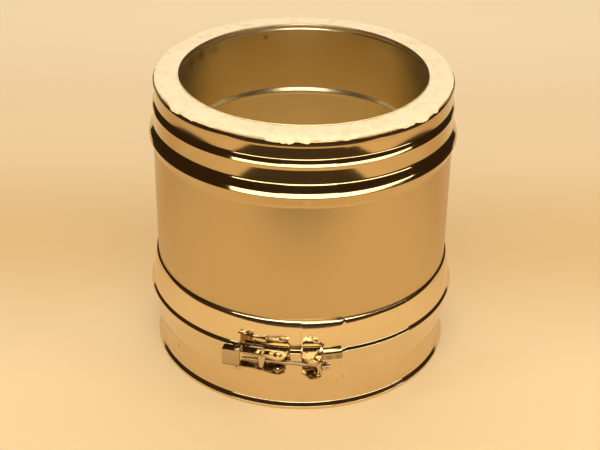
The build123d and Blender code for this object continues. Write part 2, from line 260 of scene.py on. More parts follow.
@dataclass(frozen=True)
class SteelFinish:
    """A stainless sheet or turned steel finish; satin and foot heights are in mm."""

    name: str
    colour: Colour
    roughness: float
    brush: Brush = Brush.NONE
    line_depth: float = 0.0
    haze: float = 0.0
    ripple: float = 0.0
    spots: tuple[Spot, ...] = ()
    satin: float = 0.0
    satin_from: float = 0.0
    satin_to: float = 0.0
    painted_foot_light: Colour | None = None
    foot_top: float = 31.0

    def build(self) -> Material:
        """Makes the material: metal with fine lines, hazy patches, local stains and spots of painted
        shade, and a lighter painted foot where set.

        Returns:
            The finished material.
        """
        n = MaterialNodes(self.name)
        n.shader.inputs["Metallic"].default_value = 1.0
        cloud = n.noise(Scale=CLOUD_SCALE, Detail=4.0, Roughness=0.6)
        n.link(self._roughness(n, cloud), "Value", n.shader, "Roughness")
        n.link(*self._colour(n, cloud), n.shader, "Base Color")
        n.link(self._bump(n), "Normal", n.shader, "Normal")
        return n.material

    def _roughness(self, n: Nodes, cloud: Node) -> Node:
        """Roughness that rises a little in hazy patches, and more in the satin zone's heights.

        Args:
            n: the material's nodes.
            cloud: the noise of the hazy patches.

        Returns:
            The node whose value it is.
        """
        patch = n.math("MULTIPLY", (cloud, "Fac"), self.haze)
        total = n.math("ADD", (patch, "Value"), self.roughness - self.haze / 2)
        if self.satin:
            apart = n.parts()
            above = n.math("GREATER_THAN", (apart, "Z"), self.satin_from * MM)
            below = n.math("LESS_THAN", (apart, "Z"), self.satin_to * MM)
            inside = n.math("MULTIPLY", (above, "Value"), (below, "Value"))
            more = n.math("MULTIPLY", (inside, "Value"), self.satin)
            total = n.math("ADD", (total, "Value"), (more, "Value"))
        return total

    def _colour(self, n: Nodes, cloud: Node) -> tuple:
        """Base colour, a little darker in patches, tinted at each spot, and lighter at the foot where
        a painted foot light is set, which paints the floor's reflection.

        Args:
            n: the material's nodes.
            cloud: the noise of the hazy patches.

        Returns:
            The (node, output) pair of the colour.
        """
        dull = tuple(c * (1 - DULL_SHARE * self.haze) for c in self.colour)
        patch = n.ramp((cloud, "Fac"), ((0.2, 0.0), (0.9, 1.0)))
        patch.color_ramp.interpolation = "EASE"
        result = (n.blend((patch, "Color"), self.colour, dull), 2)
        # painted light: below foot_top the colour is lighter, standing in for the floor's bright
        # reflection
        if self.painted_foot_light:
            low = n.math("LESS_THAN", (n.parts(), "Z"), self.foot_top * MM)
            result = (n.blend((low, "Value"), result, self.painted_foot_light), 2)
        for spot in self.spots:
            away = n.add("ShaderNodeVectorMath", operation="DISTANCE")
            n.link(n.object_position(), "Object", away, 0)
            away.inputs[1].default_value = spot.place
            torn = n.noise(Scale=STAIN_NOISE / spot.reach, Detail=5.0)
            edge = n.math("MULTIPLY", (torn, "Fac"), spot.reach * STAIN_TEAR)
            total = n.math("ADD", (away, "Value"), (edge, "Value"))
            scaled = n.math("DIVIDE", (total, "Value"), spot.reach * STAIN_SPREAD)
            fade = n.ramp((scaled, "Value"), ((0.35, spot.strength), (0.95, 0.0)))
            result = (n.blend((fade, "Color"), result, spot.colour), 2)
        return result

    def _bump(self, n: Nodes) -> Node:
        """Fine lines along the brushing, over a slow ripple of the sheet.

        Args:
            n: the material's nodes.

        Returns:
            The last bump node.
        """
        if self.brush is Brush.AROUND:
            apart = n.parts()
            turn = n.math("ARCTAN2", (apart, "Y"), (apart, "X"))
            joined = n.add("ShaderNodeCombineXYZ")
            n.link(turn, "Value", joined, "X")
            n.link(apart, "Z", joined, "Y")
            source, stretch = (joined, "Vector"), (LINES_AROUND, LINES_ACROSS, 1.0)
        else:
            along = LINES_LEVEL if self.brush is Brush.LEVEL else GRAIN
            source, stretch = (n.object_position(), "Object"), (along, LINES_ACROSS, LINES_ACROSS)
        mapping = n.add("ShaderNodeMapping")
        mapping.inputs["Scale"].default_value = stretch
        n.link(*source, mapping, "Vector")
        lines = n.add("ShaderNodeTexNoise", Scale=1.0, Detail=2.0)
        n.link(mapping, "Vector", lines, "Vector")
        fine = n.bump((lines, "Fac"), LINE_HEIGHT, self.line_depth)
        wave = n.noise(Scale=RIPPLE_SCALE, Detail=1.0)
        slow = n.bump((wave, "Fac"), RIPPLE_HEIGHT, self.ripple)
        n.link(fine, "Normal", slow, "Normal")
        return slow


@dataclass(frozen=True)
class WoolFinish:
    """Pressed mineral wool."""

    name: str
    pale: Colour
    dark: Colour

    def build(self) -> Material:
        """Makes the material: matt, mottled, with a fibrous bump.

        Returns:
            The finished material.
        """
        n = MaterialNodes(self.name)
        n.matt(0.95, 0.15)
        lumps = n.noise(Scale=130.0, Detail=6.0, Roughness=0.7)
        fibre = n.noise(Scale=1100.0, Detail=3.0, Roughness=0.8, Distortion=2.5)
        both = n.math("ADD", (lumps, "Fac"), (fibre, "Fac"))
        half = n.math("MULTIPLY", (both, "Value"), 0.5)
        shade = n.ramp((half, "Value"), ((0.36, 0.0), (0.52, 1.0)))
        n.link(n.blend((shade, "Color"), self.dark, self.pale), 2, n.shader, "Base Color")
        n.link(n.bump((both, "Value"), FIBRE_HEIGHT, 0.7), "Normal", n.shader, "Normal")
        return n.material


@dataclass(frozen=True)
class PaperFinish:
    """The seamless studio paper under the pipe, whose tone changes slowly from front to back: painted
    shade and light, darker in a painted shadow just behind the pipe and lighter far back.

    Each tone is a distance behind the pipe in metres, with the colour there.
    """

    name: str
    light_and_shade_tones: tuple[tuple[float, Colour], ...]
    glow: float

    def build(self) -> Material:
        """Makes matt paper, part of whose brightness to the eye and to metal is its own.

        Returns:
            The finished material.
        """
        n = MaterialNodes(self.name)
        tone = self.tone(n)
        n.link(tone, "Color", n.shader, "Base Color")
        n.matt()
        light = n.add("ShaderNodeEmission")
        n.link(tone, "Color", light, "Color")
        share = n.math("MULTIPLY", (n.looked_at(), "Value"), self.glow)
        mix = n.add("ShaderNodeMixShader")
        n.link(share, "Value", mix, "Fac")
        n.link(n.shader, "BSDF", mix, 1)
        n.link(light, "Emission", mix, 2)
        n.link(mix, "Shader", n.output, "Surface")
        return n.material

    def tone(self, n: Nodes) -> Node:
        """Adds the slow change of tone along Y, which paints the shadow behind the pipe and the
        lighter back.

        Args:
            n: the material's nodes.

        Returns:
            The colour ramp.
        """
        start, end = self.light_and_shade_tones[0][0], self.light_and_shade_tones[-1][0]
        moved = n.math("SUBTRACT", (n.parts(), "Y"), start)
        scaled = n.math("DIVIDE", (moved, "Value"), end - start)
        ramp = n.ramp((scaled, "Value"), [((y - start) / (end - start), 0.0) for y, _ in self.light_and_shade_tones])
        ramp.color_ramp.interpolation = "EASE"
        for mark, (_, colour) in zip(ramp.color_ramp.elements, self.light_and_shade_tones):
            mark.color = (*colour, 1)
        return ramp


@dataclass(frozen=True)
class BoardFinish:
    """A matt dark board that only shows in metal."""

    name: str
    colour: Colour

    def build(self) -> Material:
        """Makes the material.

        Returns:
            The finished material.
        """
        n = MaterialNodes(self.name)
        n.shader.inputs["Base Color"].default_value = (*self.colour, 1)
        n.matt()
        return n.material


# modelling


@dataclass(frozen=True)
class Corner:
    """One corner of a turned section: its radius and height in mm, and how far it is rounded."""

    radius: float
    height: float
    soft: float = 0.0


def leave_edit_mode() -> None:
    """Returns to object mode with nothing selected."""
    if bpy.context.object and bpy.context.object.mode != "OBJECT":
        bpy.ops.object.mode_set(mode="OBJECT")
    bpy.ops.object.select_all(action="DESELECT")


def named(obj: Thing, name: str) -> Thing:
    """Names a new object and its mesh, and applies its place.

    Args:
        obj: the object, alone selected.
        name: for both.

    Returns:
        The same object.
    """
    obj.name = name
    obj.data.name = name
    bpy.ops.object.transform_apply(location=True, rotation=True, scale=True)
    return obj


def pick(obj: Thing) -> None:
    """Makes one object the only selected and active one.

    Args:
        obj: the object.
    """
    leave_edit_mode()
    obj.select_set(True)
    bpy.context.view_layer.objects.active = obj


def points_of(obj: Thing) -> np.ndarray:
    """Vertex positions of an object's mesh, as rows in metres.

    Args:
        obj: the object.

    Returns:
        One row a vertex.
    """
    flat = np.empty(3 * len(obj.data.vertices))
    obj.data.vertices.foreach_get("co", flat)
    return flat.reshape(-1, 3)


def put_points(obj: Thing, rows: np.ndarray) -> None:
    """Writes vertex positions back to an object's mesh."""
    obj.data.vertices.foreach_set("co", rows.ravel())
    obj.data.update()


def select_vertices(obj: Thing, mask: np.ndarray) -> None:
    """Selects only the masked vertices, and the edges and faces between them.

    Args:
        obj: an object in object mode.
        mask: one boolean a vertex.
    """
    mesh = obj.data
    mesh.vertices.foreach_set("select", mask)
    ends = np.empty(2 * len(mesh.edges), dtype=np.int64)
    mesh.edges.foreach_get("vertices", ends)
    mesh.edges.foreach_set("select", mask[ends.reshape(-1, 2)].all(axis=1))
    mesh.polygons.foreach_set("select", [all(mask[v] for v in p.vertices) for p in mesh.polygons])


def edit(mode: str = "VERT") -> None:
    """Enters edit mode on the active object with one select mode."""
    bpy.ops.object.mode_set(mode="EDIT")
    bpy.ops.mesh.select_mode(type=mode)


def edit_all(mode: str) -> None:
    """Enters edit mode on the active object with everything selected."""
    edit(mode)
    bpy.ops.mesh.select_all(action="SELECT")


def out_of_edit() -> None:
    """Leaves edit mode."""
    bpy.ops.object.mode_set(mode="OBJECT")


def face_outwards() -> None:
    """Makes all faces look one way, outwards on a closed mesh, and leaves edit mode."""
    bpy.ops.mesh.select_all(action="SELECT")
    bpy.ops.mesh.normals_make_consistent(inside=False)
    out_of_edit()


def delete_vertices(obj: Thing, mask: np.ndarray) -> None:
    """Deletes the masked vertices of an object in object mode.

    Args:
        obj: the object.
        mask: one boolean a vertex.
    """
    select_vertices(obj, mask)
    edit()
    bpy.ops.mesh.delete(type="VERT")
    out_of_edit()


def pull_up(rings: Sequence[Point], centre: Point = (0.0, 0.0)) -> None:
    """Extrudes the selected ring from each ring to the next, in edit mode.

    Args:
        rings: radius and height of each ring in mm, the present one first.
        centre: of the axis in mm, seen from above.
    """
    x, y = centre[0] * MM, centre[1] * MM
    for last, this in zip(rings, rings[1:]):
        rise = (this[1] - last[1]) * MM
        bpy.ops.mesh.extrude_region_move(TRANSFORM_OT_translate={"value": (0, 0, rise)})
        grow = this[0] / last[0]
        bpy.ops.transform.resize(value=(grow, grow, 1), center_override=(x, y, this[1] * MM))


def lay(obj: Thing, place: Vector, way: Vector) -> None:
    """Turns a mesh's Z axis to a direction and moves the mesh, in metres."""
    turn = way.to_track_quat("Z", "Y").to_matrix().to_4x4()
    obj.data.transform(Matrix.Translation(place) @ turn)


def turns_of(rows: np.ndarray) -> np.ndarray:
    """Angle of each point about the pipe, in degrees from the front towards +X."""
    return np.degrees(np.arctan2(rows[:, 0], -rows[:, 1]))


def turned_skin(name: str, corners: Sequence[Corner], segments: int = 240) -> Thing:
    """A skin of revolution, pulled up ring by ring from a circle, then rounded at its corners.

    Args:
        name: the piece's name.
        corners: the section from one end to the other.
        segments: how many sides the circle has.

    Returns:
        The new object, still without a wall.
    """
    leave_edit_mode()
    first = corners[0]
    bpy.ops.mesh.primitive_circle_add(
        vertices=segments, radius=first.radius * MM, location=(0, 0, first.height * MM)
    )
    obj = named(bpy.context.object, name)
    edit_all("EDGE")
    pull_up([(corner.radius, corner.height) for corner in corners])
    out_of_edit()
    for corner in corners:
        if corner.soft:
            round_ring(obj, corner)
    return obj


def round_ring(obj: Thing, corner: Corner, steps: int = 5) -> None:
    """Bevels the ring of edges at one corner.

    Args:
        obj: the turned skin.
        corner: the corner, with its softness.
        steps: how many segments the round gets.
    """
    rows = points_of(obj)
    near = 1e-5
    ring = np.abs(rows[:, 2] - corner.height * MM) < near
    ring &= np.abs(np.hypot(rows[:, 0], rows[:, 1]) - corner.radius * MM) < near
    select_vertices(obj, ring)
    edit("EDGE")
    bpy.ops.mesh.bevel(offset=corner.soft * MM, segments=steps, profile=0.5, affect="EDGES")
    out_of_edit()


def face_way(obj: Thing, outwards: bool) -> None:
    """Turns a skin's faces to look away from the pipe's axis, or towards it.

    Args:
        obj: an open skin.
        outwards: whether the faces look outwards.
    """
    edit("FACE")
    face_outwards()
    facing = 0.0
    for face in obj.data.polygons:
        facing += face.area * (face.normal.x * face.center.x + face.normal.y * face.center.y)
    if (facing > 0) != outwards:
        edit_all("FACE")
        bpy.ops.mesh.flip_normals()
        out_of_edit()


def apply_modifier(obj: Thing, kind: str, **values: object) -> None:
    """Adds a modifier, sets it and applies it.

    Args:
        obj: the object.
        kind: the modifier's type.
        values: its properties.
    """
    pick(obj)
    modifier = obj.modifiers.new(kind.title(), kind)
    for key, value in values.items():
        setattr(modifier, key, value)
    bpy.ops.object.modifier_apply(modifier=modifier.name)


def wall(obj: Thing, thickness: float) -> None:
    """Gives a skin its sheet thickness in mm, on the side behind its faces."""
    apply_modifier(obj, "SOLIDIFY", thickness=thickness * MM, offset=-1.0, use_even_offset=True)


def soften(obj: Thing, width: float, steps: int = 2, limit: float = 40.0) -> None:
    """Rounds a piece's sharp edges and shades it smooth.

    Args:
        obj: the object.
        width: of the round, in mm.
        steps: segments of the round.
        limit: edges sharper than this many degrees are rounded.
    """
    apply_modifier(
        obj,
        "BEVEL",
        width=width * MM,
        segments=steps,
        limit_method="ANGLE",
        angle_limit=math.radians(limit),
        use_clamp_overlap=True,
    )
    smooth(obj, limit)


def smooth(obj: Thing, limit: float = 40.0) -> None:
    """Shades a piece smooth up to an angle in degrees."""
    pick(obj)
    bpy.ops.object.shade_smooth_by_angle(angle=math.radians(limit))


def cut(obj: Thing, tool: Thing, operation: str = "DIFFERENCE") -> None:
    """Cuts a tool's volume out of a piece, or keeps only what both share, and removes the tool."""
    apply_modifier(obj, "BOOLEAN", operation=operation, object=tool, solver="EXACT")
    bpy.data.objects.remove(tool, do_unlink=True)


def join(name: str, parts: Sequence[Thing]) -> Thing:
    """Joins several closed meshes into one piece.

    Args:
        name: the piece's name.
        parts: the objects, the first of which stays.

    Returns:
        The joined object.
    """
    leave_edit_mode()
    for part in parts:
        part.select_set(True)
    bpy.context.view_layer.objects.active = parts[0]
    if len(parts) > 1:
        bpy.ops.object.join()
    parts[0].name = name
    parts[0].data.name = name
    return parts[0]


def rod(name: str, start: Place, end: Place, radius: float, sides: int = 32) -> Thing:
    """A round bar between two points, in mm.

    Args:
        name: the object's name.
        start: centre of one end.
        end: centre of the other end.
        radius: of the bar.
        sides: of its outline.

    Returns:
        The new object.
    """
    leave_edit_mode()
    a, b = Vector(start) * MM, Vector(end) * MM
    bpy.ops.mesh.primitive_cylinder_add(vertices=sides, radius=radius * MM, depth=(b - a).length)
    obj = bpy.context.object
    lay(obj, (a + b) / 2, b - a)
    return named(obj, name)


def plate(name: str, outline: Sequence[Point], low: float, thickness: float) -> Thing:
    """A level plate of any outline, in mm.

    Args:
        name: the object's name.
        outline: corners in order, as x and y.
        low: height of its lower face.
        thickness: of the sheet.

    Returns:
        The new object.
    """
    leave_edit_mode()
    bpy.ops.mesh.primitive_circle_add(vertices=len(outline), radius=MM, fill_type="NGON")
    obj = named(bpy.context.object, name)
    for vertex, (x, y) in zip(obj.data.vertices, outline):
        vertex.co = Vector((x, y, low)) * MM
    edit_all("FACE")
    bpy.ops.mesh.extrude_region_move(TRANSFORM_OT_translate={"value": (0, 0, thickness * MM)})
    face_outwards()
    return obj


def two_plates(
    name: str, outline: Sequence[Point], half: float, sheet: float, rounding: float
) -> list[Thing]:
    """Two level plates with rounded edges, over and under the band's middle, in mm.

    Args:
        name: the objects' name.
        outline: corners in order, as x and y.
        half: distance of their outer faces from the band's middle.
        sheet: their thickness.
        rounding: of their edges.

    Returns:
        The upper and the lower plate.
    """
    pair = []
    for low in (half - sheet, -half):
        pair.append(plate(name, outline, SIZES.band_middle + low, sheet))
        soften(pair[-1], rounding)
    return pair


def arc(centre: Point, radius: float, start: float, end: float, steps: int) -> list[Point]:
    """Points on an arc split into equal steps, for an outline, in mm and degrees."""
    turns = [math.radians(start + (end - start) * k / steps) for k in range(steps + 1)]
    return [(centre[0] + radius * math.cos(t), centre[1] + radius * math.sin(t)) for t in turns]


def turned_pin(name: str, centre: Point, rings: Sequence[Point], sides: int = 40) -> Thing:
    """A solid turned about an upright axis, drawn up ring by ring, in mm.

    Args:
        name: the object's name.
        centre: of the axis, seen from above.
        rings: radius of each ring and its height over the band's middle, in order.
        sides: of its outline.

    Returns:
        The new object.
    """
    leave_edit_mode()
    rings = [(radius, SIZES.band_middle + away) for radius, away in rings]
    radius, height = rings[0]
    place = Vector((*centre, height)) * MM
    bpy.ops.mesh.primitive_circle_add(
        vertices=sides, radius=radius * MM, fill_type="NGON", location=place
    )
    obj = named(bpy.context.object, name)
    edit_all("FACE")
    pull_up(rings, centre)
    face_outwards()
    return obj


def nut(name: str, start: Place, end: Place, flat: float) -> Thing:
    """A hexagon nut whose corners are turned off at both ends, in mm.

    Args:
        name: the object's name.
        start: centre of one face.
        end: centre of the other face.
        flat: width across the flats.

    Returns:
        The nut.
    """
    corner = flat / 2 / math.cos(math.radians(30))
    hexagon = rod(name, start, end, corner, 6)
    blank = rod("nut_blank", start, end, corner, 48)
    apply_modifier(blank, "BEVEL", width=0.5 * MM, segments=2, limit_method="ANGLE")
    cut(hexagon, blank, "INTERSECT")
    soften(hexagon, 0.08, 1)
    return hexagon


# the ridge's section, as shares of the pitch
THREAD_DEPTH = 0.55
THREAD_CREST = 0.45
THREAD_WIDTH = 0.9


def threaded_rod(name: str, start: Place, end: Place, radius: float, pitch: float) -> Thing:
    """A rod with a rolled thread: a ridge that the Screw modifier winds round a core.

    Args:
        name: the object's name.
        start: centre of one end, in mm.
        end: centre of the other end.
        radius: over the thread.
        pitch: of the thread.

    Returns:
        The rod.
    """
    root = radius - THREAD_DEPTH * pitch
    core = rod(name, start, end, root + 0.03)
    soften(core, 0.3)
    leave_edit_mode()
    bpy.ops.mesh.primitive_circle_add(vertices=3, radius=MM)
    ridge = bpy.context.object
    corners = ((root, 0.0), (radius, THREAD_CREST * pitch), (root, THREAD_WIDTH * pitch))
    for vertex, (out, rise) in zip(ridge.data.vertices, corners):
        vertex.co = Vector((out, 0, rise)) * MM
    a, b = Vector(start) * MM, Vector(end) * MM
    winds = int((b - a).length / (pitch * MM)) - 1
    apply_modifier(
        ridge,
        "SCREW",
        screw_offset=pitch * MM,
        iterations=winds,
        steps=20,
        render_steps=20,
        use_merge_vertices=False,
    )
    edit_all("EDGE")
    bpy.ops.mesh.fill_holes(sides=0)
    face_outwards()
    lay(ridge, a, b - a)
    return join(name, [core, ridge])


def seam(name: str, radius: float, low: float, high: float) -> Thing:
    """A lengthwise weld bead at the back of a tube, in mm.

    Args:
        name: the object's name.
        radius: of the tube's outer face.
        low: height of its lower end.
        high: height of its upper end.

    Returns:
        The bead.
    """
    leave_edit_mode()
    bpy.ops.mesh.primitive_cube_add(size=MM)
    bead = bpy.context.object
    bead.scale = (SIZES.seam_width, 2 * SIZES.seam_proud, high - low)
    bead.location = Vector((0, radius, (low + high) / 2)) * MM
    named(bead, name)
    edit_all("EDGE")
    bpy.ops.mesh.bevel(offset=0.1 * MM, segments=2, affect="EDGES")
    out_of_edit()
    return bead


def finish_piece(
    obj: Thing, material: Material, body: str, slot: str, *nodes: str
) -> None:
    """Dresses a piece, hangs it on its body and hides the CAD nodes it stands for.

    Args:
        obj: the finished piece.
        material: its finish.
        body: the CAD body it moves with.
        slot: the record's material slot; not used.
        nodes: the CAD nodes that it replaces.
    """
    obj.data.materials.clear()
    obj.data.materials.append(material)
    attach(obj, body)
    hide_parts(*nodes)
    log.info("%s: %d faces, on %s", obj.name, len(obj.data.polygons), body)


# the pipe


@dataclass(frozen=True)
class Sizes:
    """Sizes in mm that several sub-assemblies share; the crest's slope is a ratio."""

    height: float = 250.0
    bore: float = 100.0
    body: float = 125.0
    sheet: float = 0.6
    band_middle: float = 59.0
    band_sheet: float = 1.0
    crest: float = 131.987
    crest_slope: float = 0.3131
    seam_width: float = 1.6
    seam_proud: float = 0.12


SIZES = Sizes()


def crest_corners(offset: float, half: float) -> list[Corner]:
    """The section of a strip bent over the band's crest.

    Args:
        offset: how far it lies outside the band, in mm.
        half: half the strip's height.

    Returns:
        Its four corners.
    """
    top = SIZES.crest + offset
    edge = top - (half - 1.0) * SIZES.crest_slope
    middle = SIZES.band_middle
    return [
        Corner(edge, middle - half),
        Corner(top, middle - 1.0, 0.7),
        Corner(top, middle + 1.0, 0.7),
        Corner(edge, middle + half),
    ]


def bent_strip(
    name: str, offset: float, half: float, start: float, end: float, sheet: float
) -> Thing:
    """A sheet strip bent over the band's crest.

    Args:
        name: the object's name.
        offset: of its outer face from the band, in mm.
        half: half its height.
        start: first turn, in degrees from the front.
        end: last turn.
        sheet: its thickness.

    Returns:
        The strip.
    """
    skin = turned_skin(name, crest_corners(offset, half), 720)
    turns = turns_of(points_of(skin))
    spare = 0.1
    delete_vertices(skin, (turns < start - spare) | (turns > end + spare))
    face_way(skin, outwards=True)
    wall(skin, sheet)
    soften(skin, 0.2, 2, 60.0)
    return skin


@dataclass
class Liner:
    """The inner tube: plain below, shoulder and widened socket above."""

    socket: float = 101.4
    neck: float = 99.6
    lip: float = 102.0
    shoulder: float = 190.0
    lip_base: float = 245.2
    seam_low: float = 33.0

    def build(self) -> Thing:
        """Pulls the tube up from its lower rim and gives it its wall.

        Returns:
            The tube.
        """
        corners = [
            Corner(SIZES.bore, 0.0),
            Corner(SIZES.bore, self.shoulder - 7.0, 0.8),
            Corner(self.neck, self.shoulder - 4.6, 0.8),
            Corner(self.neck + 0.1, self.shoulder - 3.4, 0.4),
            Corner(self.socket, self.shoulder - 0.4, 0.4),
            Corner(self.socket, self.lip_base, 0.35),
            Corner(self.lip, self.lip_base + 1.0, 0.35),
            Corner(self.lip, self.lip_base + 1.7),
            Corner(self.lip, SIZES.height),
        ]
        tube = turned_skin("liner_tube", corners)
        face_way(tube, outwards=False)
        wall(tube, SIZES.sheet)
        soften(tube, 0.12, 2, 60.0)
        outside = SIZES.bore + SIZES.sheet
        ridge = seam("liner_seam", outside, self.seam_low, self.shoulder - 5.0)
        return join("liner_tube", [tube, ridge])


# where the collar's dimple is, in metres
DIMPLE = (0.0347, -0.1179, 0.2372)


@dataclass
class Casing:
    """The outer tube with its foot bead, two top beads, collar and rim lip."""

    collar: float = 122.9
    flat: float = 124.4
    seam_low: float = 9.7
    seam_high: float = 189.0
    dimple_reach: float = 3.5
    dimple_depth: float = 0.3

    def build(self) -> Thing:
        """Pulls the casing up ring by ring, rounds its beads and gives it its wall.

        Returns:
            The casing.
        """
        corners = [
            Corner(127.0, 0.0),
            Corner(127.8, 2.9, 0.5),
            Corner(125.0, 6.3, 0.8),
            Corner(125.0, 192.0, 1.6),
            Corner(128.4, 199.2, 0.7),
            Corner(128.7, 200.4, 0.5),
            Corner(127.6, 204.2, 0.6),
            Corner(self.flat, 210.6, 1.3),
            Corner(self.flat, 222.8, 0.8),
            Corner(125.1, 225.2, 0.4),
            Corner(124.4, 227.7, 0.5),
            Corner(self.collar, 230.9, 0.7),
            Corner(self.collar, 234.9),
            Corner(self.collar, 240.6, 0.4),
            Corner(123.5, 241.6, 0.4),
            Corner(123.5, 246.2),
        ]
        skin = turned_skin("casing_tube", corners)
        self.dent(skin)
        face_way(skin, outwards=True)
        wall(skin, SIZES.sheet)
        soften(skin, 0.12, 2, 60.0)
        ridge = seam("casing_seam", SIZES.body, self.seam_low, self.seam_high)
        return join("casing_tube", [skin, ridge])

    def dent(self, skin: Thing) -> None:
        """Presses the small dimple into the collar, by moving its points inwards.

        Args:
            skin: the casing's skin.
        """
        rows = points_of(skin)
        away = np.linalg.norm(rows - np.array(DIMPLE), axis=1) / (self.dimple_reach * MM)
        push = self.dimple_depth * MM * np.exp(-(away**2))
        rows[:, :2] *= (1 - push / np.hypot(rows[:, 0], rows[:, 1]))[:, None]
        put_points(skin, rows)


@dataclass(frozen=True)
class Tuft:
    """A loose tuft of wool at the rim: its turn and half width in degrees, its reach in mm."""

    turn: float
    width: float
    reach: float


@dataclass
class Wool:
    """The mineral wool between the tubes, in two half shells."""

    low: float = 30.0
    top: float = 249.3
    inside: float = 102.9
    collar: float = 122.0
    split_turn: float = 168.0
    torn_depth: float = 3.0
    torn_from: float = 117.5
    lump_scale: float = 210.0
    lump_lift: float = 0.5
    grain_scale: float = 900.0
    grain_lift: float = 0.35
    settle: float = 0.35
    lean: float = 0.5
    torn_drop: float = 0.9
    tuft_drop: float = 0.85
    joint_half: float = 0.12
    notch_width: float = 28.0
    notch_height: float = 20.0
    rings: int = 22
    segments: int = 720
    tufts: tuple[Tuft, ...] = (
        Tuft(-10.5, 3.4, 2.8),
        Tuft(-5.5, 3.4, 4.0),
        Tuft(0.5, 2.8, 2.8),
        Tuft(9.0, 6.0, 1.3),
        Tuft(16.5, 4.5, 1.4),
        Tuft(41.0, 6.0, 1.9),
        Tuft(49.0, 6.5, 2.6),
        Tuft(56.0, 5.0, 1.9),
        Tuft(-46.5, 5.0, 2.2),
        Tuft(-54.0, 6.0, 1.8),
        Tuft(-38.0, 5.0, 0.9),
        Tuft(-118.0, 4.0, 1.1),
        Tuft(150.0, 5.0, 1.2),
    )

    def build(self) -> list[Thing]:
        """Pulls one full ring, roughens its top and splits it into two halves.

        Returns:
            The two halves.
        """
        top = self.top
        step = (self.collar - self.inside) / self.rings
        corners = [
            *[Corner(self.inside + step * k, top) for k in range(self.rings)],
            *[Corner(self.collar, top - drop) for drop in (0.2, 1.0, 2.0, 3.4)],
            Corner(self.collar, 233.0),
            Corner(123.5, 222.0),
            Corner(123.5, 208.0),
            Corner(124.1, 192.0),
            Corner(124.1, self.low),
            Corner(100.9, self.low),
            Corner(100.9, 186.0),
            Corner(self.inside, 189.0),
            Corner(self.inside, top - 0.5),
        ]
        ring = turned_skin("wool", corners, self.segments)
        self.close(ring)
        self.notch(ring)
        self.roughen(ring)
        return self.split(ring)

    def notch(self, ring: Thing) -> None:
        """Cuts the four notches at the foot that leave room for the spacers.

        Args:
            ring: the closed ring.
        """
        boxes = []
        reach = 50.0
        middle = (self.inside + self.collar) / 2
        height = self.low + (self.notch_height - 1.0) / 2
        for turn in (45, 135, 225, 315):
            way = math.radians(turn)
            leave_edit_mode()
            bpy.ops.mesh.primitive_cube_add(size=MM)
            box = bpy.context.object
            box.scale = (reach, self.notch_width, self.notch_height + 1.0)
            box.rotation_euler = (0, 0, way)
            box.location = Vector((middle * math.cos(way), middle * math.sin(way), height)) * MM
            boxes.append(named(box, "notch_tool"))
        cut(ring, join("notch_tools", boxes))

    def close(self, ring: Thing) -> None:
        """Bridges the first and the last ring, so that the shell is closed.

        Args:
            ring: the open skin.
        """
        rows = points_of(ring)
        radius = np.hypot(rows[:, 0], rows[:, 1])
        ends = (np.abs(radius - self.inside * MM) < 1e-5) & (rows[:, 2] > (self.top - 0.6) * MM)
        select_vertices(ring, ends)
        edit("EDGE")
        bpy.ops.mesh.bridge_edge_loops()
        face_outwards()

    def roughen(self, ring: Thing) -> None:
        """Lumps, torn fibres and the pieces that hang over the casing's rim.

        Args:
            ring: the closed ring.
        """
        rows = points_of(ring)
        high = (self.top - self.torn_depth) * MM
        roof = (SIZES.height - 0.02) * MM
        for index, (x, y, z) in enumerate(rows):
            if z < high:
                continue
            radius = math.hypot(x, y)
            spot = Vector((x, y, 0.3 * z))
            lump = noise.fractal(spot * self.lump_scale, 0.8, 2.0, 4)
            grain = noise.fractal(spot * self.grain_scale, 0.7, 2.1, 3)
            lift = self.lump_lift * lump + self.grain_lift * grain - self.settle
            edge = max(0.0, (radius / MM - self.torn_from) / (self.collar - self.torn_from))
            ragged = self.ragged(x / radius, y / radius)
            over = self.overhang(math.degrees(math.atan2(x, -y)), spot)
            outward = edge**2 * (self.lean + ragged + over)
            torn = edge**3 * (0.3 + max(0.0, -ragged))
            lift -= self.torn_drop * torn + self.tuft_drop * edge**2 * over
            scale = (radius + outward * MM) / radius
            rows[index] = (x * scale, y * scale, min(z + lift * MM, roof))
        put_points(ring, rows)

    def ragged(self, across: float, along: float) -> float:
        """How far the torn edge strays at one bearing, in mm, from two sizes of noise.

        Args:
            across: the bearing's X, on a circle of radius 1.
            along: its Y.

        Returns:
            The distance, outwards if above 0.
        """
        coarse = noise.noise(Vector((across, along, 0)) * 28)
        fine = noise.noise(Vector((across, along, 2)) * 75)
        return 0.55 * coarse + 0.35 * fine

    def overhang(self, turn: float, spot: Vector) -> float:
        """How far the loose tufts hang over the rim at one turn, in mm.

        Args:
            turn: in degrees from the front.
            spot: the point that the noise is taken at.

        Returns:
            The distance.
        """
        over = 0.0
        for tuft in self.tufts:
            gap = abs((turn - tuft.turn + 180) % 360 - 180) / tuft.width
            if gap < 1:
                over = max(over, tuft.reach * (1 - gap * gap) * (0.75 + 0.5 * noise.noise(spot * 170)))
        return over

    def split(self, ring: Thing) -> list[Thing]:
        """Cuts the ring along the joint and closes each half's cut faces.

        Args:
            ring: the full ring.

        Returns:
            The left and the right half.
        """
        way = math.radians(self.split_turn)
        along = Vector((math.sin(way), -math.cos(way), 0))
        across = Vector((along.y, -along.x, 0))
        halves = []
        for name, side in (("wool_left", 1), ("wool_right", -1)):
            pick(ring)
            bpy.ops.object.duplicate()
            half = bpy.context.object
            half.name = name
            half.data.name = name
            edit_all("FACE")
            bpy.ops.mesh.bisect(
                plane_co=across * (self.joint_half * MM * side),
                plane_no=across * side,
                use_fill=True,
                clear_inner=True,
            )
            out_of_edit()
            smooth(half, 70.0)
            halves.append(half)
        bpy.data.objects.remove(ring, do_unlink=True)
        return halves


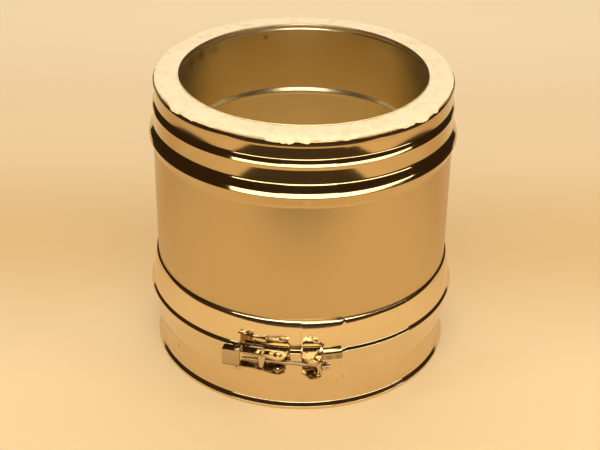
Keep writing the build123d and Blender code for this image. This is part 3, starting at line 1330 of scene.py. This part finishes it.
@dataclass
class Band:
    """The locking band: one ribbed strip whose right end laps over its left end."""

    out: float = 126.3
    flank: float = 127.4
    shoulder: float = 129.2
    half: float = 28.6
    lip: float = 5.5
    crest_half: float = 9.9
    lap_step: float = 1.1
    tongue_turn: int = 14
    joggle_turn: int = 17
    edge_turn: float = 0.35

    def corners(self) -> list[Corner]:
        """The strip's section from its lower to its upper edge.

        Returns:
            Its corners in order.
        """
        middle = SIZES.band_middle
        return [
            Corner(self.out, middle - self.half),
            Corner(self.flank, middle - self.half + self.lip, 1.2),
            Corner(self.shoulder, middle - self.crest_half, 1.6),
            Corner(SIZES.crest, middle - 0.4, 0.4),
            Corner(131.70, middle + 0.7, 0.3),
            Corner(129.85, middle + 3.2, 0.6),
            Corner(self.shoulder, middle + self.crest_half, 1.6),
            Corner(self.flank, middle + self.half - self.lip, 1.2),
            Corner(self.out, middle + self.half),
        ]

    def build(self) -> Thing:
        """Turns the strip, opens it at the front and laps its right end over the left.

        Returns:
            The band.
        """
        strip = turned_skin("band_strip", self.corners(), 360)
        rows = points_of(strip)
        turns = turns_of(rows)
        gap = (turns > self.tongue_turn + 0.5) & (turns < self.joggle_turn - 0.5)
        delete_vertices(strip, gap)
        turns = turns_of(points_of(strip))
        select_vertices(strip, np.abs(turns - self.joggle_turn) < 0.2)
        edit()
        self.spin(-1.0, 2)
        grow = 1 + self.lap_step / self.shoulder
        bpy.ops.transform.resize(value=(grow, grow, 1), center_override=(0, 0, 0))
        self.spin(self.edge_turn - self.joggle_turn + 1.0, 16)
        out_of_edit()
        face_way(strip, outwards=True)
        wall(strip, SIZES.band_sheet)
        soften(strip, 0.18, 2, 60.0)
        return strip

    def spin(self, turn: float, steps: int) -> None:
        """Spins the selected end round the pipe; the operator counts its angle backwards."""
        bpy.ops.mesh.spin(steps=steps, angle=-math.radians(turn), center=(0, 0, 0), axis=(0, 0, 1))


@dataclass(frozen=True)
class LatchPlan:
    """The latch's axes and shared sizes in mm, laid out as on the real linkage."""

    pivot: Point = (-17.5, -142.6)
    tilt: float = 13.3
    arm: float = 13.0
    over_centre: float = 1.2
    reach: float = 46.0
    screw_arm: float = 33.2
    cheek_half: float = 7.6
    cheek_sheet: float = 1.2
    ear_half: float = 6.2
    ear_sheet: float = 1.5
    pin: float = 2.0
    running: float = 0.08
    side_gap: float = 0.05
    washer_gap: float = 0.1
    bar: float = 3.2
    nut_flat: float = 7.0
    nut_height: float = 3.2

    def on_lever(self, along: float, out: float = 0.0) -> Point:
        """A point on the lever, from its pivot towards the thumb end and away from the pipe.

        Args:
            along: distance from the pivot, in mm.
            out: distance outwards from the lever's middle line.

        Returns:
            The point seen from above.
        """
        tilt = math.radians(self.tilt)
        x = self.pivot[0] - along * math.cos(tilt) - out * math.sin(tilt)
        return x, self.pivot[1] + along * math.sin(tilt) - out * math.cos(tilt)

    def on_rod(self, along: float) -> Place:
        """A point on the rod's line, from the trunnion towards the nut.

        Args:
            along: distance from the trunnion's axis, in mm.

        Returns:
            The point.
        """
        x, y = self.on_lever(self.arm)
        slope = math.radians(self.tilt) - math.asin(self.over_centre / self.arm)
        return x + along * math.cos(slope), y - along * math.sin(slope), SIZES.band_middle

    def bar_place(self) -> Point:
        """The cross bar's axis seen from above."""
        return self.on_rod(self.reach)[:2]


PLAN = LatchPlan()


@dataclass
class LatchBase:
    """The strip bent over the band's crest, with the two ears that carry the lever."""

    start: float = -20.5
    end: float = -3.2
    offset: float = 1.3
    sheet: float = 1.2
    root: float = 131.36
    root_left: float = -102.75
    root_right: float = -93.05
    ear_round: float = 5.0

    def build(self) -> Thing:
        """Bends the strip and folds up both ears.

        Returns:
            The base.
        """
        name = "latch_base_plate"
        strip = bent_strip(name, self.offset, PLAN.ear_half, self.start, self.end, self.sheet)
        outline = [
            *arc((0, 0), self.root, self.root_left, self.root_right, 8),
            *arc(PLAN.pivot, self.ear_round, 0, -180, 18),
        ]
        ears = two_plates("ear", outline, PLAN.ear_half, PLAN.ear_sheet, 0.2)
        return join(name, [strip, *ears])


@dataclass
class Lever:
    """The over-centre lever: two cheeks that a thumb plate joins, with its cross screw."""

    length: float = 45.5
    waist: float = 20.0
    inner_depth: float = 4.4
    outer_depth: float = 3.5
    end_round: float = 7.0
    corner: float = 1.6
    thumb: float = 14.5
    thumb_step: float = 0.2
    head: float = 3.6
    head_height: float = 2.2
    key: float = 2.5
    key_depth: float = 1.3

    def cheek_outline(self) -> list[Point]:
        """The cheek's outline seen from above.

        Returns:
            Its points in order.
        """
        tip = arc((self.length - self.corner, self.corner - self.inner_depth), self.corner, -90, 0, 5)
        local = [
            *arc((0, 0), self.end_round, 90, 270, 20),
            (self.waist, -self.inner_depth),
            *tip,
            (self.length, self.outer_depth),
            (self.waist, self.outer_depth),
        ]
        return [PLAN.on_lever(along, out) for along, out in local]

    def build(self) -> Thing:
        """Makes both cheeks with their holes, and the thumb plate between them.

        Returns:
            The lever.
        """
        middle = SIZES.band_middle
        parts = []
        for low in (PLAN.cheek_half - PLAN.cheek_sheet, -PLAN.cheek_half):
            cheek = plate("cheek", self.cheek_outline(), middle + low, PLAN.cheek_sheet)
            for along in (0.0, PLAN.arm, PLAN.screw_arm):
                x, y = PLAN.on_lever(along)
                start, end = (x, y, middle + low - 1), (x, y, middle + low + 3)
                cut(cheek, rod("drill", start, end, PLAN.pin + PLAN.running))
            soften(cheek, 0.22)
            parts.append(cheek)
        near, far = self.length - self.thumb, self.length
        over = self.outer_depth - self.thumb_step
        under = over - PLAN.cheek_sheet
        half = PLAN.cheek_half - PLAN.cheek_sheet + 0.1
        corners = ((near, under), (far, under), (far, over), (near, over))
        outline = [PLAN.on_lever(along, out) for along, out in corners]
        thumb = plate("thumb", outline, middle - half, 2 * half)
        soften(thumb, 0.3, 3)
        return join("lever_arm", [*parts, thumb])

    def build_screw(self) -> Thing:
        """Turns the socket screw and cuts its key.

        Returns:
            The screw.
        """
        centre = PLAN.on_lever(PLAN.screw_arm)
        top = PLAN.cheek_half + PLAN.washer_gap
        low = -PLAN.cheek_half - PLAN.nut_height - 1.3
        peak = top + self.head_height
        bevel = 0.4
        rings = [
            (1.6, low),
            (PLAN.pin, low + bevel),
            (PLAN.pin, top),
            (self.head, top),
            (self.head, peak - bevel),
            (self.head - bevel, peak),
        ]
        head = turned_pin("cross_screw", centre, rings)
        corner = self.key / 2 / math.cos(math.radians(30))
        face = SIZES.band_middle + peak
        cut(head, rod("key", (*centre, face - self.key_depth), (*centre, face + 1), corner, 6))
        soften(head, 0.12)
        return head

    def build_nut(self) -> Thing:
        """Makes the screw's nut under the lower cheek.

        Returns:
            The nut.
        """
        x, y = PLAN.on_lever(PLAN.screw_arm)
        top = SIZES.band_middle - PLAN.cheek_half - PLAN.washer_gap
        return nut("cross_screw_nut", (x, y, top - PLAN.nut_height), (x, y, top), PLAN.nut_flat)

    def dress(self, steel: Material, bright: Material) -> None:
        """Builds and finishes the lever with its screw and nut.

        Args:
            steel: the lever's finish.
            bright: the fasteners' finish.
        """
        finish_piece(self.build(), steel, "lever", "lever_steel", "latch_lever")
        finish_piece(self.build_screw(), bright, "lever", "fastener_steel", "lever_screw")
        finish_piece(self.build_nut(), bright, "lever", "fastener_steel", "lever_nut")


@dataclass
class Rivets:
    """The two short rivets that hang the lever in the ears."""

    head: float = 3.6
    tail: float = 3.2
    height: float = 1.0

    def build(self, name: str, side: int) -> Thing:
        """Turns one rivet with a domed head outside and a flat one inside.

        Args:
            name: the piece's name.
            side: 1 for the upper rivet, -1 for the lower one.

        Returns:
            The rivet.
        """
        inside = PLAN.ear_half - PLAN.ear_sheet - PLAN.side_gap
        outside = PLAN.cheek_half + PLAN.side_gap
        rings = [
            (self.tail - 0.3, inside - self.height),
            (self.tail, inside - self.height + 0.3),
            (self.tail, inside),
            (PLAN.pin, inside),
            (PLAN.pin, outside),
            (self.head, outside),
            (self.head, outside + 0.25 * self.height),
            (0.86 * self.head, outside + 0.65 * self.height),
            (0.6 * self.head, outside + 0.9 * self.height),
            (0.25 * self.head, outside + self.height),
        ]
        rivet = turned_pin(name, PLAN.pivot, [(radius, side * away) for radius, away in rings])
        smooth(rivet, 35.0)
        return rivet

    def dress(self, bright: Material) -> None:
        """Builds and finishes both rivets.

        Args:
            bright: their finish.
        """
        for name, side, node in (
            ("rivet_upper", 1, "lever_rivet_upper"),
            ("rivet_lower", -1, "lever_rivet_lower"),
        ):
            finish_piece(self.build(name, side), bright, "pipe", "fastener_steel", node)


@dataclass
class PullRod:
    """The threaded rod with its trunnion, cross bar and nut."""

    radius: float = 2.0
    pitch: float = 0.7
    tail: float = 16.5
    tip: float = 6.2
    barrel: float = 3.6
    barrel_half: float = 6.2
    proud: float = 0.4
    bar_half: float = 7.8

    def build_trunnion(self) -> Thing:
        """Turns the barrel with its two end pins and bores it for the rod.

        Returns:
            The trunnion.
        """
        end = PLAN.cheek_half + self.proud
        rings = [
            (PLAN.pin - 0.4, -end),
            (PLAN.pin, -end + 0.3),
            (PLAN.pin, -self.barrel_half),
            (self.barrel, -self.barrel_half),
            (self.barrel, self.barrel_half),
            (PLAN.pin, self.barrel_half),
            (PLAN.pin, end - 0.3),
            (PLAN.pin - 0.4, end),
        ]
        barrel = turned_pin("trunnion_pin", PLAN.on_lever(PLAN.arm), rings)
        cut(barrel, rod("bore", PLAN.on_rod(-6.0), PLAN.on_rod(6.0), self.radius + PLAN.side_gap))
        soften(barrel, 0.12)
        return barrel

    def build_bar(self) -> Thing:
        """Turns the cross bar and bores it for the rod.

        Returns:
            The bar.
        """
        bevel, half, radius = 0.5, self.bar_half, PLAN.bar
        rings = [
            (radius - bevel, -half),
            (radius, bevel - half),
            (radius, half - bevel),
            (radius - bevel, half),
        ]
        bar = turned_pin("hook_bar", PLAN.bar_place(), rings)
        near, far = PLAN.on_rod(PLAN.reach - 5.0), PLAN.on_rod(PLAN.reach + 5.0)
        cut(bar, rod("bore", near, far, self.radius + PLAN.side_gap))
        soften(bar, 0.12)
        return bar

    def dress(self, bright: Material) -> None:
        """Builds and finishes all four pieces.

        Args:
            bright: their finish.
        """
        seat = PLAN.reach + PLAN.bar
        near, far = PLAN.on_rod(-self.tail), PLAN.on_rod(seat + self.tip)
        shank = threaded_rod("threaded_rod", near, far, self.radius, self.pitch)
        face = seat + PLAN.washer_gap
        start, end = PLAN.on_rod(face), PLAN.on_rod(face + PLAN.nut_height)
        for piece, node in (
            (self.build_trunnion(), "trunnion"),
            (shank, "draw_bolt"),
            (self.build_bar(), "cross_bar"),
            (nut("pull_nut", start, end, PLAN.nut_flat), "adjusting_nut"),
        ):
            finish_piece(piece, bright, "pull_rod", "fastener_steel", node)


@dataclass
class Catch:
    """The catch on the lapped end: a strip with a spot-welded tab and two hook plates."""

    start: float = 0.55
    narrow: float = 8.2
    end: float = 15.2
    narrow_half: float = 5.2
    offset: float = 2.4
    sheet: float = 1.2
    root: float = 132.12
    left: float = 2.0
    clearance: float = 0.4
    spot_turns: tuple[float, ...] = (10.2, 13.6)
    spot_drop: float = 2.2
    spot_radius: float = 2.1
    groove: float = 0.3

    def hook_outline(self) -> list[Point]:
        """The hook plate's outline seen from above, with its open throat to the right.

        Returns:
            Its points in order.
        """
        x, y = PLAN.bar_place()
        pocket = PLAN.bar + self.clearance
        return [
            *arc((0, 0), self.root, -89.13, -82.61, 8),
            *arc((x, y), pocket, 125, 270, 14),
            (x + 2.2, y - pocket),
            *arc((x + 1.2, y - pocket - 1.6), 1.0, 0, -90, 5),
            *arc((x - 1.6, y - 7.4), 1.0, -60, -95, 4),
            *arc((x - 6.6, y - 8.2), 1.0, -95, -150, 5),
            (self.left, y - 0.7),
        ]

    def build(self) -> Thing:
        """Bends the strip and its tab, adds both hooks and presses the weld marks.

        Returns:
            The catch.
        """
        out, sheet, waist = self.offset, self.sheet, self.narrow
        wide = bent_strip("catch_plate", out, PLAN.cheek_half, self.start, waist, sheet)
        tab = bent_strip("tab", out, self.narrow_half, waist - 0.5, self.end, sheet)
        for place in self.spot_places():
            self.press(tab, place)
        hooks = two_plates("hook", self.hook_outline(), PLAN.cheek_half, PLAN.cheek_sheet, 0.22)
        return join("catch_plate", [wide, tab, *hooks])

    def spot_places(self) -> list[Vector]:
        """Centres of the weld marks on the tab's face, in metres.

        Returns:
            One point a mark.
        """
        radius = SIZES.crest + self.offset - (self.spot_drop - 1.0) * SIZES.crest_slope
        places = []
        for turn in self.spot_turns:
            way = math.radians(turn)
            height = SIZES.band_middle - self.spot_drop
            places.append(Vector((radius * math.sin(way), -radius * math.cos(way), height)) * MM)
        return places

    def press(self, tab: Thing, place: Vector) -> None:
        """Presses one round weld groove into the tab's face.

        Args:
            tab: the tab.
            place: the groove's centre, in metres.
        """
        leave_edit_mode()
        out = Vector((place.x, place.y, 0)).normalized() - Vector((0, 0, SIZES.crest_slope))
        bpy.ops.mesh.primitive_torus_add(
            major_radius=self.spot_radius * MM,
            minor_radius=self.groove * MM,
            major_segments=36,
            minor_segments=10,
        )
        ring = bpy.context.object
        lay(ring, place, out)
        cut(tab, ring)


# studio


@dataclass(frozen=True)
class Lamp:
    """A soft box, placed by its bearing from the front and its height, in metres and degrees."""

    name: str
    bearing: float
    elevation: float
    distance: float
    width: float
    height: float
    power: float
    mirrored: bool = True
    colour: Colour = (1.0, 1.0, 1.0)

    def build(self) -> None:
        """Hangs the lamp so that it looks at the pipe."""
        light = bpy.data.lights.new(self.name, "AREA")
        light.shape = "RECTANGLE"
        light.size, light.size_y = self.width, self.height
        light.energy = self.power
        light.color = self.colour
        lamp = bpy.data.objects.new(self.name, light)
        bpy.context.scene.collection.objects.link(lamp)
        turn, rise = math.radians(self.bearing), math.radians(self.elevation)
        level = math.cos(rise)
        away = Vector((math.sin(turn) * level, -math.cos(turn) * level, math.sin(rise)))
        lamp.location = away * self.distance + Vector((0, 0, 0.12))
        lamp.rotation_mode = "QUATERNION"
        lamp.rotation_quaternion = away.to_track_quat("Z", "Y")
        lamp.visible_glossy = self.mirrored


@dataclass
class Studio:
    """Paper floor, dark room that only metal sees, lamps, air and camera, in metres."""

    floor_half: float = 12.0
    room_radius: float = 1.3
    board_front: float = 0.42
    board_side: float = 0.56
    warm: Colour = (1.0, 0.88, 0.68)
    air: Colour = (0.905, 0.665, 0.385)
    fill: Colour = (1.0, 0.93, 0.82)
    fill_strength: float = 0.32
    lens: float = 80.48
    camera_place: Place = (0.0, -1.01424, 0.69104)
    camera_right: Place = (0.99989, 0.00837, 0.01204)
    camera_up: Place = (-0.01461, 0.50123, 0.86519)
    camera_ahead: Place = (-0.00121, 0.86527, -0.50130)
    # the paper's tones paint shade and light: a shadow band about 0.14 m behind the pipe, and more
    # light far back
    paper: PaperFinish = PaperFinish(
        "paper",
        (
            (-0.20, (0.85, 0.61, 0.325)),
            (-0.04, (0.88, 0.63, 0.34)),
            (0.14, (0.81, 0.53, 0.245)),
            (0.40, (0.88, 0.64, 0.36)),
            (0.80, (0.97, 0.75, 0.45)),
        ),
        0.4,
    )

    def build(self) -> None:
        """Sets up everything round the pipe."""
        self.floor()
        self.dark_room()
        for lamp in (
            Lamp("soft_box_left", -30.0, 7.0, 0.90, 0.55, 0.12, 1.0, True, self.warm),
            Lamp("soft_box_right", 50.0, 7.0, 0.90, 0.96, 0.12, 1.7, True, self.warm),
            Lamp("soft_box_middle", 4.5, 9.0, 0.90, 0.567, 0.20, 1.7, True, self.warm),
            Lamp("soft_box_top", 0.0, 50.0, 0.92, 0.62, 0.55, 3.6, True, self.warm),
            Lamp("side_lamp_left", -66.0, 36.0, 2.0, 0.5, 0.5, 8.0, False),
            Lamp("side_lamp_right", 68.0, 36.0, 2.0, 0.5, 0.5, 8.0, False),
            Lamp("back_lamp", 180.0, 62.0, 1.7, 1.2, 0.8, 11.0, False),
        ):
            lamp.build()
        self.world()
        self.camera()

    def floor(self) -> None:
        """Lays the pale paper."""
        leave_edit_mode()
        bpy.ops.mesh.primitive_plane_add(size=2 * self.floor_half)
        paper = named(bpy.context.object, "paper_floor")
        paper.data.materials.append(self.paper.build())

    def dark_room(self) -> None:
        """Puts a dark room round the scene with three dark boards in it, which only metal shows."""
        board = BoardFinish("dark_board", (0.05, 0.035, 0.02)).build()
        leave_edit_mode()
        bpy.ops.mesh.primitive_uv_sphere_add(radius=self.room_radius, segments=48, ring_count=24)
        room = named(bpy.context.object, "dark_room")
        edit_all("FACE")
        bpy.ops.mesh.bisect(plane_co=(0, 0, 0.01), plane_no=(0, 0, 1), clear_inner=True)
        out_of_edit()
        size = 2 * self.room_radius
        boards = []
        for name, x, y in (
            ("front_board", 0, -self.board_front - self.room_radius),
            ("left_board", -self.board_side - self.room_radius, 0),
            ("right_board", self.board_side + self.room_radius, 0),
        ):
            leave_edit_mode()
            bpy.ops.mesh.primitive_plane_add(size=size, location=(x, y, 0.001))
            boards.append(named(bpy.context.object, name))
        for obj in (room, *boards):
            obj.data.materials.append(board)
            obj.visible_camera = False
            obj.visible_diffuse = False
            obj.visible_shadow = False
            obj.visible_transmission = False

    def world(self) -> None:
        """Pale to the eye and to metal, faint to everything else."""
        world = bpy.data.worlds.new("studio_air")
        bpy.context.scene.world = world
        world.use_nodes = True
        n = Nodes(world.node_tree)
        output = n.add("ShaderNodeOutputWorld")
        seen = n.add("ShaderNodeBackground", Color=(*self.air, 1))
        faint = n.add("ShaderNodeBackground", Color=(*self.fill, 1), Strength=self.fill_strength)
        mix = n.add("ShaderNodeMixShader")
        n.link(n.looked_at(), "Value", mix, "Fac")
        n.link(faint, "Background", mix, 1)
        n.link(seen, "Background", mix, 2)
        n.link(mix, "Shader", output, "Surface")

    def camera(self) -> None:
        """Sets the camera at the photograph's viewing angle."""
        data = bpy.data.cameras.new("camera")
        data.lens = self.lens
        data.sensor_width = 36.0
        data.clip_start, data.clip_end = 0.05, 40.0
        cam = bpy.data.objects.new("camera", data)
        bpy.context.scene.collection.objects.link(cam)
        ahead = Vector(self.camera_ahead)
        turn = Matrix((self.camera_right, self.camera_up, -ahead)).transposed()
        cam.matrix_world = Matrix.Translation(self.camera_place) @ turn.to_4x4()
        bpy.context.scene.camera = cam


# all together

# dark brown for dirt spots, and for a painted reflection of the floor shadow on the casing
DIRT_AND_PAINTED_REFLECTION = (0.20, 0.12, 0.05)
# brown for the weld marks' heat tint, and for painted shade in the collar's dimple
HEAT_TINT_AND_DENT_SHADE = (0.30, 0.17, 0.07)
CASING_STEEL = SteelFinish(
    "casing_steel",
    (0.61, 0.46, 0.25),
    0.09,
    Brush.AROUND,
    line_depth=0.05,
    spots=(
        # painted shade: a dark spot in the collar's dimple
        Spot(DIMPLE, 0.0013, HEAT_TINT_AND_DENT_SHADE, 0.8),
        # painted reflection: a dark spot low at the front left that stands in for the floor shadow
        # seen in the steel
        Spot((-0.1039, -0.0695, 0.0229), 0.0022, DIRT_AND_PAINTED_REFLECTION, 0.6),
    ),
    satin=0.19,
    satin_from=9.0,
    satin_to=190.0,
    # lighter below the band: painted reflection of the near floor
    painted_foot_light=(0.76, 0.61, 0.38),
)
BAND_STEEL = SteelFinish(
    "band_steel",
    (0.78, 0.64, 0.42),
    0.08,
    Brush.AROUND,
    line_depth=0.10,
    haze=0.03,
    ripple=0.03,
    spots=(Spot((0.00465, -0.1269, 0.0339), 0.0013, DIRT_AND_PAINTED_REFLECTION, 0.8),),
)
LINER_STEEL = SteelFinish(
    "liner_steel",
    (0.93, 0.82, 0.56),
    0.27,
    Brush.AROUND,
    line_depth=0.12,
    spots=(
        Spot((-0.0953, 0.0347, 0.2400), 0.0070, DIRT_AND_PAINTED_REFLECTION, 0.45),
        Spot((-0.0878, 0.0507, 0.2410), 0.0060, DIRT_AND_PAINTED_REFLECTION, 0.55),
        Spot((-0.0777, 0.0652, 0.2400), 0.0060, DIRT_AND_PAINTED_REFLECTION, 0.45),
        Spot((-0.0340, 0.0955, 0.2397), 0.0030, DIRT_AND_PAINTED_REFLECTION, 0.7),
    ),
)
WOOL = WoolFinish("mineral_wool", (0.97, 0.79, 0.52), (0.80, 0.60, 0.33))
SPACER_STEEL = SteelFinish("spacer_steel", (0.74, 0.62, 0.44), 0.25, Brush.LEVEL, 0.3, 0.1)
# the latch, lever and fastener steels are coloured darker than the band: painted shade among the
# latch's plates, ears and cheeks
LATCH_STEEL = SteelFinish(
    "latch_steel",
    (0.48, 0.38, 0.23),
    0.11,
    Brush.LEVEL,
    line_depth=0.08,
    haze=0.06,
    ripple=0.03,
    spots=tuple(Spot(tuple(place), 0.0030, HEAT_TINT_AND_DENT_SHADE, 0.8) for place in Catch().spot_places()),
)
LEVER_STEEL = SteelFinish("lever_steel", (0.52, 0.41, 0.26), 0.11, Brush.LEVEL, 0.08, 0.06, 0.03)
BRIGHT_STEEL = SteelFinish("fastener_steel", (0.62, 0.50, 0.34), 0.14, Brush.NONE, 0.08, 0.08)


def dress_cad_node(name: str, material: Material) -> None:
    """Gives a CAD node that stays in view its finish.

    Args:
        name: the node's name.
        material: its finish.
    """
    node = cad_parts[name]
    node.data.materials.clear()
    node.data.materials.append(material)


def main() -> None:
    """Builds the pipe piece by piece, then the studio round it."""
    logging.basicConfig(level=logging.INFO, format="%(name)s: %(message)s")
    bpy.context.scene.view_settings.view_transform = "Standard"
    finish_piece(Liner().build(), LINER_STEEL.build(), "pipe", "liner_steel", "inner_liner")
    finish_piece(Casing().build(), CASING_STEEL.build(), "pipe", "casing_steel", "outer_casing")
    halves, wool = Wool().build(), WOOL.build()
    for half, node in zip(halves, ("insulation_left", "insulation_right")):
        finish_piece(half, wool, "pipe", "mineral_wool", node)
    finish_piece(Band().build(), BAND_STEEL.build(), "pipe", "band_steel", "locking_band")
    latch_steel, bright = LATCH_STEEL.build(), BRIGHT_STEEL.build()
    finish_piece(LatchBase().build(), latch_steel, "pipe", "latch_steel", "latch_base")
    Rivets().dress(bright)
    Lever().dress(LEVER_STEEL.build(), bright)
    PullRod().dress(bright)
    finish_piece(Catch().build(), latch_steel, "pipe", "latch_steel", "catch_hook")
    spacer_steel = SPACER_STEEL.build()
    for number in range(1, 5):
        dress_cad_node(f"spacer_{number}", spacer_steel)
    Studio().build()


if __name__ == "__main__":
    main()
